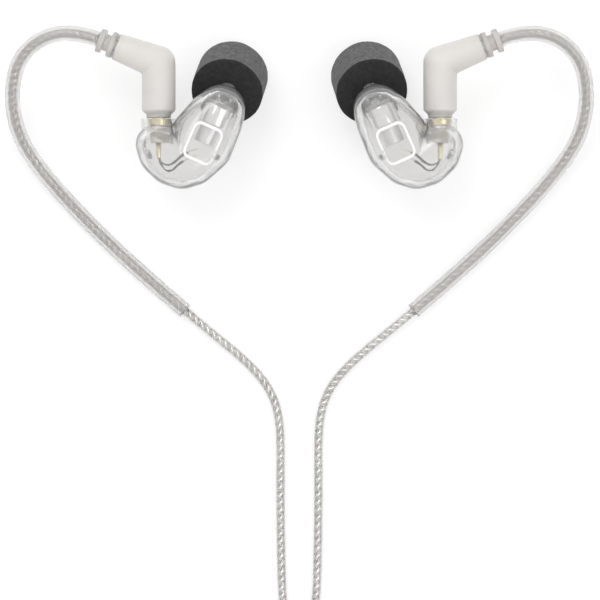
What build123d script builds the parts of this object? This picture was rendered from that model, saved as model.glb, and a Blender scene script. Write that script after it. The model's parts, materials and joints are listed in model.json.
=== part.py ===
from build123d import *
import os
from math import cos, pi, radians, sin, tan

os.makedirs("parts", exist_ok=True)

# In ear monitors lying face plates up on a table (z = 0), ear tips down.
# The left side is at -X and the right side is its mirror image about X = 0.
# All lengths are in millimetres.

# ---- Plug and socket axis of the left earpiece, parallel to Y
plug_x = -24.31
plug_z = 12.0
running_gap = 0.08

# ---- Housing
wall = 1.0
parting_z = 13.5
face_top_z = 19.3
ear_bottom_z = 8.0
outer_edge_round = 3.4
inner_edge_round = 2.3
# Circles whose hulls make the outline: (x, y, radius)
heel_top_circle = (-24.7, -6.2, 3.55)
heel_circle = (-23.2, -7.5, 4.6)
lower_left_circle = (-21.8, -8.8, 4.6)
bottom_circle = (-20.2, -9.3, 4.6)
lower_right_circle = (-18.6, -8.8, 4.6)
belly_circle = (-16.6, -6.3, 5.15)
side_circle = (-13.9, -2.6, 4.0)
nose_circle = (-13.5, -0.1, 4.25)
shoulder_circle = (-15.64, -0.8, 3.6)
web_circle = (-18.4, -3.8, 3.5)
collar_outer_r = 3.02
collar_top_y = -1.74
collar_bottom_y = -6.0

# ---- Ear tip, measured along its own axis from the foam's inner face
tip_base = (-12.57, 2.87, 10.68)
tip_axis = (0.127, 0.4615, -0.878)
foam_r = 6.2
foam_length = 10.0
foam_end_round = 3.0
foam_base_round = 0.5
core_outer_r = 2.6
core_inner_r = 2.0
core_from = 0.3
core_to = 8.5
seat_r = 6.7
seat_gap = 0.35

# ---- Nozzle, on the ear tip's axis
nozzle_r = 1.8
nozzle_lip_r = 1.95
nozzle_lip_from = 4.7
nozzle_from = -2.0
nozzle_to = 5.5
nozzle_bore_r = 1.1
mesh_r = 1.38
mesh_pocket_r = 1.4
mesh_pocket_from = 5.2
mesh_from = 5.25
mesh_thickness = 0.2
mesh_hole_r = 0.17
mesh_hole_ring_r = 0.75
mesh_hole_count = 6

# ---- Socket and plug, by y along the plug axis
socket_r = 1.9
socket_top_y = -1.84
socket_step_y = -3.57
socket_rear_r = 1.5
socket_bottom_y = -4.6
nose_r = 1.25
socket_bore_r = nose_r + running_gap
detent_r = 1.5
detent_y = -3.2
detent_width = 0.6
insulator_r = 1.73
insulator_bottom_y = -5.97
contact_r = 0.42
contact_bore_r = 0.24
contact_top_y = -2.6
contact_bore_bottom_y = -5.0
stem_r = 0.47
stem_bottom_y = -9.15
barrel_r = 1.75
barrel_top_y = 3.5
barrel_bottom_y = -1.64
nose_bottom_y = -4.3
barrel_bore_r = 0.9
plug_insulator_bottom_y = -1.9
plug_insulator_top_y = 2.0
pin_r = 0.2
pin_top_y = 3.0
pin_bottom_y = -4.2
groove_r = 0.97
groove_width = 0.5
ring_inner_r = 1.02
ring_outer_r = 1.31
ring_width = 0.4
ring_slit = 0.35

# ---- Driver, its axis level and leaning in plan
driver_front = (-13.65, 0.17, 14.4)
driver_lean_deg = 24.0
can_r = 2.75
can_length = 3.5
cup_r = 1.85
cup_length = 3.5
gasket_outer_r = 2.45
gasket_inner_r = 1.9
gasket_thickness = 0.7
wire_diameter = 0.45

# ---- Elbow boot and strain relief; the branch runs up and to the left
branch_rise_deg = 21.0
corner_y = 7.94
boot_r = 2.92
boot_chamfer_top_y = -0.3
boot_chamfer_bottom_y = -1.05
boot_neck_r = 2.1
boot_end_r = 2.36
boot_end = 7.8
relief_groove_r = 1.9
relief_collar_r = 2.28
relief_collar_from = 8.2
relief_collar_to = 9.08
relief_neck_r = 1.45
relief_rib_from = 10.1
relief_rib_r = 2.1
relief_end = 11.1

# ---- Ear hook tube and cables
ear_cable_d = 1.5
hook_outer_d = 2.65
hook_inner_d = 1.6
main_cable_d = 2.2

# ---- Stored coil of the two ear cables
ear_coil_x = -11.25
ear_coil_y = -100.3
ear_coil_outer_mid_r = 12.0
ear_coil_inner_mid_r = 4.5
ear_coil_layers = 2
tie_thickness = 0.4
tie_gap = 0.05
tie_width = 5.0

# ---- Stored coil of the main cable
main_coil_outer_mid_r = 15.6
main_coil_inner_mid_r = 10.1
main_coil_x = main_coil_outer_mid_r
main_coil_y = -167.0
main_coil_layers = 4

# ---- Cinch slider and splitter, on the line x = 0
cable_spread = 1.3
hub_z = 1.9
slider_top_y = -130.0
slider_length = 7.0
slider_width = 6.6
slider_hole_r = 0.8
splitter_top_y = -138.5
splitter_length = 13.0
splitter_width = 7.4
splitter_pocket = 2.5
splitter_edge_round = 1.2
splitter_relief_length = 5.5
splitter_relief_top_r = 1.85
splitter_relief_end_r = 1.5

# ---- Headphone plug, pointing to +Y
jack_x = -22.0
jack_z = 3.7
jack_relief_y = -166.0
jack_relief_length = 7.0
jack_relief_start_r = 1.5
jack_relief_end_r = 2.4
jack_handle_r = 3.7
jack_handle_length = 17.0
jack_contact_r = 1.75
jack_insulator_length = 0.7
jack_sleeve_length = 7.2
jack_ring_length = 1.7
jack_tip_length = 3.9

parts = {}


def hull_of(circles, inset):
    """Flat face round circles (x, y, radius), each drawn smaller by inset."""
    edges = []
    for x, y, radius in circles:
        edges += (Pos(x, y) * Circle(radius - inset)).edges()
    return make_hull(edges)


def outline(inset):
    """Plan outline of the housing, moved inwards by inset."""
    body_circles = [heel_top_circle, heel_circle, lower_left_circle, bottom_circle]
    front_circles = [web_circle, shoulder_circle, nose_circle, side_circle]
    front_circles += [belly_circle, lower_right_circle, bottom_circle]
    return hull_of(body_circles, inset) + hull_of(front_circles, inset)


def on_plug_axis(low_y, high_y, radius):
    """Cylinder about the plug axis between two heights in y."""
    middle = Pos(plug_x, (low_y + high_y) / 2, plug_z)
    return middle * Rot(90, 0, 0) * Cylinder(radius, high_y - low_y)


def along(plane, start, end, radius):
    """Cylinder about a plane's normal from start to end."""
    bottom = (Align.CENTER, Align.CENTER, Align.MIN)
    return plane * Pos(0, 0, start) * Cylinder(radius, end - start, align=bottom)


def cone_along(plane, start, end, start_r, end_r):
    """Cone about a plane's normal from start to end."""
    bottom = (Align.CENTER, Align.CENTER, Align.MIN)
    return plane * Pos(0, 0, start) * Cone(start_r, end_r, end - start, align=bottom)


def bend_radii(points):
    """Largest even bend at each inner point: 0.45 of the shorter run over tan of half the turn."""
    radii = []
    for before, here, after in zip(points, points[1:], points[2:]):
        run_in = Vector(here) - Vector(before)
        run_out = Vector(after) - Vector(here)
        turn = radians(run_in.get_angle(run_out))
        radii.append(0.45 * min(run_in.length, run_out.length) / tan(turn / 2))
    return radii


def swept(points, diameter, radii):
    """Round solid along straight runs joined by arcs."""
    path = FilletPolyline(*points, radius=radii)
    section = Plane(origin=path @ 0, z_dir=path % 0) * Circle(diameter / 2)
    return sweep(section, path=path), path.length


def cord(name, points, diameter):
    """Cord along a route; prints its radii and compares its volume with section times length."""
    radii = bend_radii(points)
    solid, length = swept(points, diameter, radii)
    expected = pi * diameter**2 / 4 * length
    rounded = [round(radius, 1) for radius in radii]
    print(f"{name}: length {length:.1f}, volume ratio {solid.volume / expected:.4f}, radii {rounded}")
    return solid


def coil_ring(x, y, inner_mid_r, outer_mid_r, diameter, layers):
    """Closed ring that is the outer shape of a coil, resting on its tie."""
    height = layers * diameter
    bottom = (Align.CENTER, Align.CENTER, Align.MIN)
    place = Pos(x, y, tie_thickness)
    ring = place * Cylinder(outer_mid_r + diameter / 2, height, align=bottom)
    ring = fillet(ring.edges(), diameter * 0.4)
    return ring - place * Cylinder(inner_mid_r - diameter / 2, height, align=bottom)


def coil_tie(x, y, inner_mid_r, outer_mid_r, diameter, layers, azimuth_deg):
    """Flat band round a coil's section, on the table."""
    inner_r = inner_mid_r - diameter / 2
    outer_r = outer_mid_r + diameter / 2
    height = layers * diameter
    bottom = (Align.CENTER, Align.CENTER, Align.MIN)
    middle = (inner_r + outer_r) / 2
    hole_length = outer_r - inner_r + 3 * tie_gap
    hole_height = height + tie_gap
    outside = Box(hole_length + 2 * tie_thickness, tie_width, hole_height + 2 * tie_thickness, align=bottom)
    outside = fillet(outside.edges().filter_by(Axis.Y), tie_thickness)
    # The ring's inner wall curves away from the band, so the band's inside starts further in
    sag = inner_r - (inner_r**2 - (tie_width / 2) ** 2) ** 0.5
    inside = Pos(-sag / 2, 0, tie_thickness) * Box(hole_length + sag, tie_width, hole_height, align=bottom)
    stretch = Pos(-sag, 0, 0) * outside
    band = outside + stretch - inside
    return Pos(x, y, 0) * Rot(0, 0, azimuth_deg) * Pos(middle, 0, 0) * band


# ---- Planes of the left side
tip_plane = Plane(origin=tip_base, z_dir=tip_axis)
branch_direction = (-cos(radians(branch_rise_deg)), sin(radians(branch_rise_deg)), 0)
branch_plane = Plane(origin=(plug_x, corner_y, plug_z), z_dir=branch_direction)
driver_back = (-sin(radians(driver_lean_deg)), -cos(radians(driver_lean_deg)), 0)
driver_plane = Plane(origin=driver_front, z_dir=driver_back)


def ear_shell():
    outer = Pos(0, 0, ear_bottom_z) * extrude(outline(0), parting_z - ear_bottom_z)
    outer = fillet(outer.edges().group_by(Axis.Z)[0], outer_edge_round)
    floor_z = ear_bottom_z + wall
    cavity = Pos(0, 0, floor_z) * extrude(outline(wall), parting_z - floor_z)
    cavity = fillet(cavity.edges().group_by(Axis.Z)[0], inner_edge_round)
    cavity -= along(tip_plane, -seat_gap - wall, 2 * foam_length, seat_r + wall)
    cavity -= socket_holder(cavity)
    cavity -= driver_rib(cavity)
    shell = outer - along(tip_plane, -seat_gap, 2 * foam_length, seat_r)
    shell -= cavity
    shell += on_plug_axis(collar_bottom_y, collar_top_y, collar_outer_r)
    shell -= on_plug_axis(insulator_bottom_y, collar_top_y, socket_r + 0.02)
    shell -= on_plug_axis(stem_bottom_y, collar_top_y, stem_r + 0.05)
    shell += along(tip_plane, nozzle_from, nozzle_to, nozzle_r)
    shell += along(tip_plane, nozzle_lip_from, nozzle_to, nozzle_lip_r)
    shell -= along(tip_plane, nozzle_from - wall, nozzle_to, nozzle_bore_r)
    shell -= along(tip_plane, mesh_pocket_from, nozzle_to, mesh_pocket_r)
    return shell


def socket_holder(cavity):
    """L-shaped clear walls either side of the socket and two locating pins, inside the cavity."""
    wall_offset = 2.95
    wall_width = 0.5
    wall_top_y = -2.6
    wall_foot_y = -7.4
    foot_reach = 1.6
    foot_width = 0.4
    height = plug_z + 2.5
    holder = Part()
    for side in (-1, 1):
        upright_y = (wall_top_y + wall_foot_y) / 2
        upright_length = wall_top_y - wall_foot_y
        upright = Pos(plug_x + side * wall_offset, upright_y) * Box(wall_width, upright_length, height)
        foot_x = plug_x + side * (wall_offset - foot_reach / 2 + wall_width / 2)
        foot = Pos(foot_x, wall_foot_y) * Box(foot_reach, foot_width, height)
        holder += upright + foot
    holder = Pos(0, 0, height / 2) * holder
    for x, y, radius in ((-26.05, -8.23, 0.7), (-14.0, -8.6, 0.6)):
        holder += Pos(x, y, parting_z / 2) * Cylinder(radius, parting_z)
    return holder & cavity


def driver_rib(cavity):
    """Clear rib under the driver's can, hollowed to fit it."""
    rib_width = 4.4
    rib_thickness = 0.8
    rib = driver_plane * Pos(0, 0, can_length / 2) * Box(2 * rib_width, rib_width, rib_thickness)
    rib -= along(driver_plane, 0, can_length, can_r + 0.02)
    below_z = driver_front[2] - 2 * can_r - 1.0
    below = Pos(driver_front[0], driver_front[1], below_z) * Box(30, 30, 4 * can_r)
    return rib & below & cavity


def face_shell():
    outer = Pos(0, 0, parting_z) * extrude(outline(0), face_top_z - parting_z)
    outer = fillet(outer.edges().group_by(Axis.Z)[-1], outer_edge_round)
    inner_top_z = face_top_z - wall
    cavity = Pos(0, 0, parting_z) * extrude(outline(wall), inner_top_z - parting_z)
    cavity = fillet(cavity.edges().group_by(Axis.Z)[-1], inner_edge_round)
    shell = outer - cavity
    return shell - on_plug_axis(collar_bottom_y, collar_top_y + wall, collar_outer_r)


def nozzle_mesh():
    disc = along(tip_plane, mesh_from, mesh_from + mesh_thickness, mesh_r)
    places = [(0, 0)]
    for index in range(mesh_hole_count):
        angle = 2 * pi * index / mesh_hole_count
        places.append((mesh_hole_ring_r * cos(angle), mesh_hole_ring_r * sin(angle)))
    for x, y in places:
        hole = Cylinder(mesh_hole_r, 4 * mesh_thickness)
        disc -= tip_plane * Pos(x, y, mesh_from) * hole
    return disc


def foam_tip():
    foam = along(tip_plane, 0, foam_length, foam_r)
    ends = foam.edges().filter_by(GeomType.CIRCLE).sort_by(Axis.Z)
    foam = fillet(ends[0], foam_end_round)
    base = foam.edges().filter_by(GeomType.CIRCLE).sort_by(Axis.Z)[-1]
    foam = fillet(base, foam_base_round)
    return foam - along(tip_plane, -1, foam_length + 1, core_outer_r)


def socket_body():
    body = on_plug_axis(socket_step_y, socket_top_y, socket_r)
    body += on_plug_axis(socket_bottom_y, socket_step_y, socket_rear_r)
    body -= on_plug_axis(socket_bottom_y, socket_top_y, socket_bore_r)
    return body - on_plug_axis(detent_y - detent_width / 2, detent_y + detent_width / 2, detent_r)


def socket_insulator():
    body = on_plug_axis(insulator_bottom_y, socket_step_y, insulator_r)
    body -= on_plug_axis(socket_bottom_y, socket_step_y, socket_rear_r)
    return body - on_plug_axis(insulator_bottom_y, socket_bottom_y, contact_r)


def socket_contact():
    body = on_plug_axis(insulator_bottom_y, contact_top_y, contact_r)
    body += on_plug_axis(stem_bottom_y, insulator_bottom_y, stem_r)
    return body - on_plug_axis(contact_bore_bottom_y, contact_top_y, contact_bore_r)


def driver_wires():
    """Two thin wires from the socket's stem to the back of the driver."""
    start_y = stem_bottom_y + 0.45
    upper = [
        (plug_x + 0.1, start_y, 12.7),
        (plug_x + 0.2, start_y - 0.9, 13.0),
        (-22.2, -9.9, 13.4),
        (-19.8, -7.6, 14.0),
        (-17.4, -7.0, 14.6),
    ]
    lower = [
        (plug_x - 0.1, start_y, 11.2),
        (plug_x + 0.1, start_y - 1.5, 11.4),
        (-22.6, -11.5, 11.9),
        (-20.4, -9.0, 12.8),
        (-17.6, -8.0, 13.4),
    ]
    first, _ = swept(upper, wire_diameter, bend_radii(upper))
    second, _ = swept(lower, wire_diameter, bend_radii(lower))
    return Part(children=[first, second])


def plug_barrel():
    body = on_plug_axis(barrel_bottom_y, barrel_top_y, barrel_r)
    body += on_plug_axis(nose_bottom_y, barrel_bottom_y, nose_r)
    groove_low = detent_y - groove_width / 2
    groove_high = detent_y + groove_width / 2
    ring = on_plug_axis(groove_low, groove_high, nose_r) - on_plug_axis(groove_low, groove_high, groove_r)
    body -= ring
    return body - on_plug_axis(nose_bottom_y, barrel_top_y, barrel_bore_r)


def snap_ring():
    low = detent_y - ring_width / 2
    high = detent_y + ring_width / 2
    ring = on_plug_axis(low, high, ring_outer_r) - on_plug_axis(low, high, ring_inner_r)
    slit = Pos(plug_x, detent_y, plug_z + ring_outer_r) * Box(ring_slit, ring_width, ring_outer_r)
    return ring - slit


def elbow_boot():
    body = on_plug_axis(boot_chamfer_top_y, corner_y, boot_r)
    body += Pos(plug_x, corner_y, plug_z) * Sphere(boot_r)
    body += cone_along(branch_plane, 0, boot_end, boot_r, boot_end_r)
    neck_plane = Plane(origin=(plug_x, boot_chamfer_bottom_y, plug_z), z_dir=(0, 1, 0))
    body += cone_along(neck_plane, 0, boot_chamfer_top_y - boot_chamfer_bottom_y, boot_neck_r, boot_r)
    body += on_plug_axis(barrel_bottom_y, boot_chamfer_bottom_y, boot_neck_r)
    return body - on_plug_axis(barrel_bottom_y, barrel_top_y, barrel_r)


def strain_relief():
    body = along(branch_plane, boot_end, relief_collar_from, relief_groove_r)
    body += along(branch_plane, relief_collar_from, relief_collar_to, relief_collar_r)
    body += along(branch_plane, relief_collar_to, relief_rib_from, relief_neck_r)
    return body + along(branch_plane, relief_rib_from, relief_end, relief_rib_r)


# ---- Routes. The ear cables leave their strain reliefs, follow the ear hooks down on to the table
# and run side by side to the stored coil.
relief_face = (
    plug_x + branch_direction[0] * relief_end,
    corner_y + branch_direction[1] * relief_end,
    plug_z,
)
hook_route = [
    relief_face,
    (-38.2, 13.27, 12.0),
    (-44.0, 12.75, 11.6),
    (-48.6, 9.0, 10.0),
    (-50.1, 3.0, 7.6),
    (-49.35, -3.2, 5.0),
    (-46.7, -8.4, 3.1),
    (-41.2, -15.1, 1.8),
    (-32.6, -23.85, 1.4),
    (-23.3, -32.1, 1.36),
]
after_hook = [
    (-16.6, -37.8, 1.34),
    (-9.9, -43.2, 0.95),
    (-6.0, -47.3, 0.8),
    (-4.0, -51.3, 0.79),
    (-3.25, -56.3, 0.78),
    (-3.35, -64.5, 0.79),
    (-3.2, -79.0, 0.77),
]
left_to_coil = [
    (-2.9, -87.0, 0.8),
    (-1.1, -94.0, 1.1),
    (-0.75, -100.3, 1.15),
]
right_to_coil = [
    (2.9, -86.5, 0.8),
    (1.2, -93.5, 1.1),
    (0.75, -100.3, 1.15),
]
coil_exit_z = tie_thickness + 1.5 * ear_cable_d
left_from_coil = [
    (0.75, -100.3, coil_exit_z),
    (0.8, -108.5, coil_exit_z),
    (1.3, -116.5, 1.95),
    (1.3, -132.0, hub_z),
    (1.3, splitter_top_y - splitter_pocket, hub_z),
]
right_from_coil = [
    (-0.75, -100.3, coil_exit_z),
    (-0.8, -108.5, coil_exit_z),
    (-1.3, -116.5, 1.95),
    (-1.3, -132.0, hub_z),
    (-1.3, splitter_top_y - splitter_pocket, hub_z),
]
main_lead_route = [
    (0.0, splitter_top_y - splitter_length + splitter_pocket, hub_z),
    (0.0, -160.0, hub_z),
    (0.0, main_coil_y, tie_thickness + main_cable_d / 2),
]
main_coil_exit_z = tie_thickness + (main_coil_layers - 0.5) * main_cable_d
main_tail_route = [
    (0.0, main_coil_y, main_coil_exit_z),
    (-0.8, -175.5, 6.9),
    (-7.0, -181.8, 3.4),
    (-14.5, -182.3, 1.5),
    (-20.6, -178.4, 1.6),
    (jack_x, -172.0, jack_z),
    (jack_x, jack_relief_y, jack_z),
]


def mirrored(points):
    return [(-x, y, z) for x, y, z in points]


def hook_tube():
    """Clear formed tube, ending halfway along a straight run of the cable's route."""
    last = hook_route[-1]
    following = after_hook[0]
    end = tuple((a + b) / 2 for a, b in zip(last, following))
    radii = bend_radii(hook_route + [following])
    outer, _ = swept(hook_route + [end], hook_outer_d, radii)
    inner, _ = swept(hook_route + [end], hook_inner_d, radii)
    return outer - inner


def capsule(width, height, length, top_y, rounding):
    """Rounded block lying along Y, its middle at hub_z."""
    section = Plane.XZ * RectangleRounded(width, height, rounding)
    block = extrude(section, length)
    return Pos(0, top_y, hub_z) * block


def cable_hole(x, high_y, low_y, radius):
    """Cylinder along Y at hub_z."""
    return Pos(x, (high_y + low_y) / 2, hub_z) * Rot(90, 0, 0) * Cylinder(radius, high_y - low_y)


def cinch_slider():
    height = 2 * hub_z
    body = capsule(slider_width, height, slider_length, slider_top_y, height / 2 - 0.1)
    for x in (-cable_spread, cable_spread):
        body -= cable_hole(x, slider_top_y + 1, slider_top_y - slider_length - 1, slider_hole_r)
    return body


def splitter_halves():
    height = 2 * hub_z
    body = capsule(splitter_width, height, splitter_length, splitter_top_y, splitter_edge_round)
    low_y = splitter_top_y - splitter_length
    for x in (-cable_spread, cable_spread):
        body -= cable_hole(x, splitter_top_y, splitter_top_y - splitter_pocket, ear_cable_d / 2)
    body -= cable_hole(0, low_y + splitter_pocket, low_y, main_cable_d / 2)
    half = Box(2 * splitter_width, 3 * splitter_length, hub_z)
    lower = body & Pos(0, splitter_top_y, hub_z / 2) * half
    upper = body & Pos(0, splitter_top_y, hub_z * 1.5) * half
    return lower, upper


def splitter_relief():
    low_y = splitter_top_y - splitter_length
    start = Plane(origin=(0, low_y, hub_z), z_dir=(0, -1, 0))
    body = cone_along(start, 0, splitter_relief_length, splitter_relief_top_r, splitter_relief_end_r)
    return body - along(start, 0, splitter_relief_length, main_cable_d / 2)


def jack():
    """Pieces of the 3.5 mm three-pole plug, in order from the cable's end."""
    start = Plane(origin=(jack_x, jack_relief_y, jack_z), z_dir=(0, 1, 0))
    handle_from = jack_relief_length
    handle_to = handle_from + jack_handle_length
    relief = cone_along(start, 0, jack_relief_length, jack_relief_start_r, jack_relief_end_r)
    handle = along(start, handle_from, handle_to, jack_handle_r)
    handle = fillet(handle.edges().filter_by(GeomType.CIRCLE).sort_by(Axis.Y)[0], 1.6)
    handle = chamfer(handle.edges().filter_by(GeomType.CIRCLE).sort_by(Axis.Y)[-1], 0.5)
    sleeve_to = handle_to + jack_sleeve_length
    ring_from = sleeve_to + jack_insulator_length
    ring_to = ring_from + jack_ring_length
    tip_from = ring_to + jack_insulator_length
    sleeve = along(start, handle_to, sleeve_to, jack_contact_r)
    ring = along(start, ring_from, ring_to, jack_contact_r)
    insulators = along(start, sleeve_to, ring_from, jack_contact_r)
    second = along(start, ring_to, tip_from, jack_contact_r)
    waist = tip_from + 0.35 * jack_tip_length
    tip_to = tip_from + jack_tip_length
    tip = cone_along(start, tip_from, waist, jack_contact_r - 0.1, jack_contact_r - 0.45)
    tip += cone_along(start, waist, waist + 0.2 * jack_tip_length, jack_contact_r - 0.45, jack_contact_r)
    tip += cone_along(start, waist + 0.2 * jack_tip_length, tip_to, jack_contact_r, 0.5)
    return {
        "jack_strain_relief": relief,
        "jack_handle": handle,
        "jack_sleeve": sleeve,
        "jack_ring": ring,
        "jack_insulators": Part(children=[insulators, second]),
        "jack_tip": tip,
    }


# ---- Left pieces, each mirrored for the right side
side_makers = {
    "face_shell": face_shell(),
    "ear_shell": ear_shell(),
    "nozzle_mesh": nozzle_mesh(),
    "foam_tip": foam_tip(),
    "tip_core": along(tip_plane, core_from, core_to, core_outer_r)
    - along(tip_plane, core_from, core_to, core_inner_r),
    "socket_body": socket_body(),
    "socket_insulator": socket_insulator(),
    "socket_contact": socket_contact(),
    "driver_can": along(driver_plane, 0, can_length, can_r),
    "driver_cup": along(driver_plane, can_length, can_length + cup_length, cup_r),
    "driver_gasket": along(driver_plane, -gasket_thickness, 0, gasket_outer_r)
    - along(driver_plane, -gasket_thickness, 0, gasket_inner_r),
    "driver_wires": driver_wires(),
    "plug_barrel": plug_barrel(),
    "plug_insulator": on_plug_axis(plug_insulator_bottom_y, plug_insulator_top_y, barrel_bore_r)
    - on_plug_axis(plug_insulator_bottom_y, plug_insulator_top_y, pin_r),
    "plug_pin": on_plug_axis(pin_bottom_y, pin_top_y, pin_r),
    "snap_ring": snap_ring(),
    "elbow_boot": elbow_boot(),
    "strain_relief": strain_relief(),
    "ear_hook_tube": hook_tube(),
}
for name, solid in side_makers.items():
    parts["left_" + name] = solid
    parts["right_" + name] = mirror(solid, about=Plane.YZ)

# ---- Cords
left_route = hook_route + after_hook + left_to_coil
right_route = mirrored(hook_route + after_hook) + right_to_coil
parts["left_ear_cable"] = cord("left_ear_cable", left_route, ear_cable_d)
parts["right_ear_cable"] = cord("right_ear_cable", right_route, ear_cable_d)
parts["left_cable_tail"] = cord("left_cable_tail", left_from_coil, ear_cable_d)
parts["right_cable_tail"] = cord("right_cable_tail", right_from_coil, ear_cable_d)
parts["main_cable_lead"] = cord("main_cable_lead", main_lead_route, main_cable_d)
parts["main_cable_tail"] = cord("main_cable_tail", main_tail_route, main_cable_d)

ear_coil = (ear_coil_x, ear_coil_y, ear_coil_inner_mid_r, ear_coil_outer_mid_r, ear_cable_d, ear_coil_layers)
main_coil = (
    main_coil_x,
    main_coil_y,
    main_coil_inner_mid_r,
    main_coil_outer_mid_r,
    main_cable_d,
    main_coil_layers,
)
parts["ear_cable_coil"] = coil_ring(*ear_coil)
parts["main_cable_coil"] = coil_ring(*main_coil)
parts["ear_coil_tie"] = coil_tie(*ear_coil, 180)
parts["main_coil_tie"] = coil_tie(*main_coil, 0)

# ---- Pieces on the cords
parts["cinch_slider"] = cinch_slider()
parts["splitter_lower"], parts["splitter_upper"] = splitter_halves()
parts["splitter_relief"] = splitter_relief()
parts.update(jack())

for name, solid in parts.items():
    export_step(solid, f"parts/{name}.step")
print(len(parts), "nodes")
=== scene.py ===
import json
from math import atan2, copysign, cos, dist, hypot, pi, radians, sin, sqrt

import bmesh
import bpy
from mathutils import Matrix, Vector, noise

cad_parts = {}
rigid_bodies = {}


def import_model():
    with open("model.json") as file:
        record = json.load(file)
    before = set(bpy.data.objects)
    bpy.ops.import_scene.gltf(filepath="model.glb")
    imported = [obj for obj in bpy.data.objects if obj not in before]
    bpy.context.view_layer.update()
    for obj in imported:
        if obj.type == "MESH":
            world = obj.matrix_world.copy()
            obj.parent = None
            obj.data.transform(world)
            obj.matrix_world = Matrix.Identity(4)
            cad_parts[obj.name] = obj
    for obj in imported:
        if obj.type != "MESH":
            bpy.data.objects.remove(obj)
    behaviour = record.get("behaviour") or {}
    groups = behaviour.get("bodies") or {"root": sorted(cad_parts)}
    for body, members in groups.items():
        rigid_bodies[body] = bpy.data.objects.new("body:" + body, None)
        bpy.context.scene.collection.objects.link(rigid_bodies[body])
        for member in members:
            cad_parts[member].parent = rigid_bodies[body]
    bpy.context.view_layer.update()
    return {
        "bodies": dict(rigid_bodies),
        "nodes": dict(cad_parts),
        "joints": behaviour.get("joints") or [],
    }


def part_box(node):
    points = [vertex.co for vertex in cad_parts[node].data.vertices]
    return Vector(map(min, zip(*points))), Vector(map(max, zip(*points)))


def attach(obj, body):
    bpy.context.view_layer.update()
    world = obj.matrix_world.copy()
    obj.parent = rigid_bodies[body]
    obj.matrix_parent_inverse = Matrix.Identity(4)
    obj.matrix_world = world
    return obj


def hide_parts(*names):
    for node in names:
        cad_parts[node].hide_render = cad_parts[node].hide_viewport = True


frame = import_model()

# In ear monitors lying face plates up. Metres, +Z up, the left side at -X.
MM = 0.001
SIDES = (("left", 1), ("right", -1))


def link(thing):
    bpy.context.scene.collection.objects.link(thing)


# ---- camera, light and floor
VIEW_CENTRE = (0.0001, -0.03304)
VIEW_WIDTH = 0.10435
LENS_MM = 300
SENSOR_MM = 36


def make_stage():
    """Pale floor, soft overhead light and the camera straight above the object."""
    bpy.ops.mesh.primitive_plane_add(size=6)
    floor = bpy.context.object
    floor.name = "floor"
    paint = bpy.data.materials.new("floor_paint")
    paint.use_nodes = True
    shader = paint.node_tree.nodes["Principled BSDF"]
    shader.inputs["Base Color"].default_value = (0.5, 0.5, 0.5, 1)
    shader.inputs["Emission Color"].default_value = (1, 1, 1, 1)
    shader.inputs["Emission Strength"].default_value = 0.56
    shader.inputs["Roughness"].default_value = 0.9
    shader.inputs["Specular IOR Level"].default_value = 0.0
    floor.data.materials.append(paint)

    world = bpy.data.worlds.new("studio")
    world.use_nodes = True
    nodes, links = world.node_tree.nodes, world.node_tree.links
    coordinates = nodes.new("ShaderNodeTexCoord")
    split = nodes.new("ShaderNodeSeparateXYZ")
    ramp = nodes.new("ShaderNodeValToRGB")
    links.new(coordinates.outputs["Generated"], split.inputs["Vector"])
    links.new(split.outputs["Z"], ramp.inputs["Fac"])
    links.new(ramp.outputs["Color"], nodes["Background"].inputs["Color"])
    stops = ramp.color_ramp.elements
    stops[0].position, stops[0].color = 0.0, (0.55, 0.55, 0.55, 1)
    stops[1].position, stops[1].color = 1.0, (1, 1, 1, 1)
    for position, grey in ((0.25, 0.47), (0.42, 0.56), (0.6, 0.95)):
        stops.new(position).color = (grey, grey, grey, 1)
    nodes["Background"].inputs["Strength"].default_value = 0.95
    bpy.context.scene.world = world

    for name, place, size, power in (
        ("key", (-0.3, 0.6, 1.0), 0.6, 3.2),
        ("fill", (0.6, -0.2, 1.0), 0.7, 1.6),
    ):
        light = bpy.data.lights.new(name, "AREA")
        light.size = size
        light.energy = power
        lamp = bpy.data.objects.new(name, light)
        lamp.location = place
        aim = Vector((0, -0.02, 0)) - Vector(place)
        lamp.rotation_euler = aim.to_track_quat("-Z", "Y").to_euler()
        link(lamp)

    camera = bpy.data.cameras.new("camera")
    camera.lens = LENS_MM
    camera.sensor_width = SENSOR_MM
    camera.clip_start = 0.01
    camera.clip_end = 50
    holder = bpy.data.objects.new("camera", camera)
    distance = VIEW_WIDTH / SENSOR_MM * LENS_MM
    holder.location = (*VIEW_CENTRE, distance + 0.006)
    link(holder)
    bpy.context.scene.camera = holder
    bpy.context.scene.view_settings.view_transform = "Standard"


# ---- materials
def principled(name, **sockets):
    """New material and its Principled shader, with plain values on the shader's own sockets."""
    material = bpy.data.materials.new(name)
    material.use_nodes = True
    shader = material.node_tree.nodes["Principled BSDF"]
    for socket, value in sockets.items():
        shader.inputs[socket.replace("_", " ")].default_value = value
    return material, shader


def pattern(material, kind, scale, **settings):
    """Texture node over the object's own coordinates, in metres."""
    nodes, links = material.node_tree.nodes, material.node_tree.links
    coordinates = nodes.new("ShaderNodeTexCoord")
    texture = nodes.new(kind)
    texture.inputs["Scale"].default_value = scale
    for socket, value in settings.items():
        texture.inputs[socket].default_value = value
    links.new(coordinates.outputs["Object"], texture.inputs["Vector"])
    return texture


def add_bump(material, shader, height, depth, strength=1.0):
    """Bump of the given depth in metres from a height socket."""
    nodes, links = material.node_tree.nodes, material.node_tree.links
    bump = nodes.new("ShaderNodeBump")
    bump.inputs["Distance"].default_value = depth
    bump.inputs["Strength"].default_value = strength
    links.new(height, bump.inputs["Height"])
    links.new(bump.outputs["Normal"], shader.inputs["Normal"])


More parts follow.
